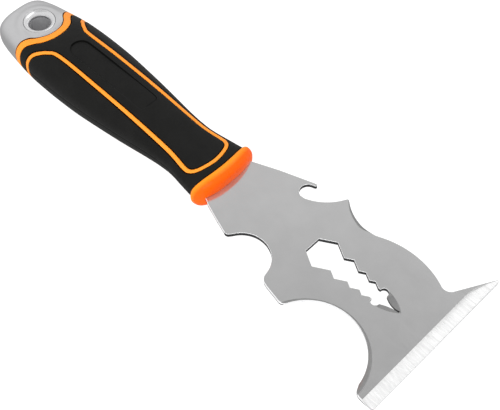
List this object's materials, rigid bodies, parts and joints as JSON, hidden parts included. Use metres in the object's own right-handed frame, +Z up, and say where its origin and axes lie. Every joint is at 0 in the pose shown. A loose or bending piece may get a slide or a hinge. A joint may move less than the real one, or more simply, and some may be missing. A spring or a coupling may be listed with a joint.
{
  "type": "painter's multi tool",
  "caption": "Painter's multi tool: flat steel scraper blade with roller-cleaning arcs, wrench openings and bottle opener, on an orange and black soft grip with a metal hammer cap.",
  "frame": {"origin": "under the middle of the tool, on the surface that it lies on", "axes": "+X along the tool towards the scraper edge, +Y across the blade towards the bottle opener, +Z up, normal to the blade"},
  "size_m": [0.238, 0.0732, 0.0258],
  "materials": {
    "blade_steel": "satin ground stainless steel, bright at the scraper bevel",
    "core_orange": "moulded orange polypropylene, satin",
    "ferrule_orange": "glossy orange plastic",
    "trim_orange": "satin orange plastic",
    "grip_black": "soft black thermoplastic rubber with a very fine grain",
    "cap_metal": "fine-blasted satin silver metal",
    "eyelet_metal": "bright plated metal",
    "rivet_steel": "plain steel, hidden inside the grip"
  },
  "bodies": {
    "root": {"blade": "blade_steel", "core_upper": "core_orange", "core_lower": "core_orange", "core_rivet_front": "rivet_steel", "core_rivet_middle": "rivet_steel", "core_rivet_rear": "rivet_steel", "front_ferrule": "ferrule_orange", "face_grip": "grip_black", "side_grip": "grip_black", "butt_trim": "trim_orange", "hammer_cap": "cap_metal", "hang_eyelet": "eyelet_metal"}
  },
  "joints": []
}
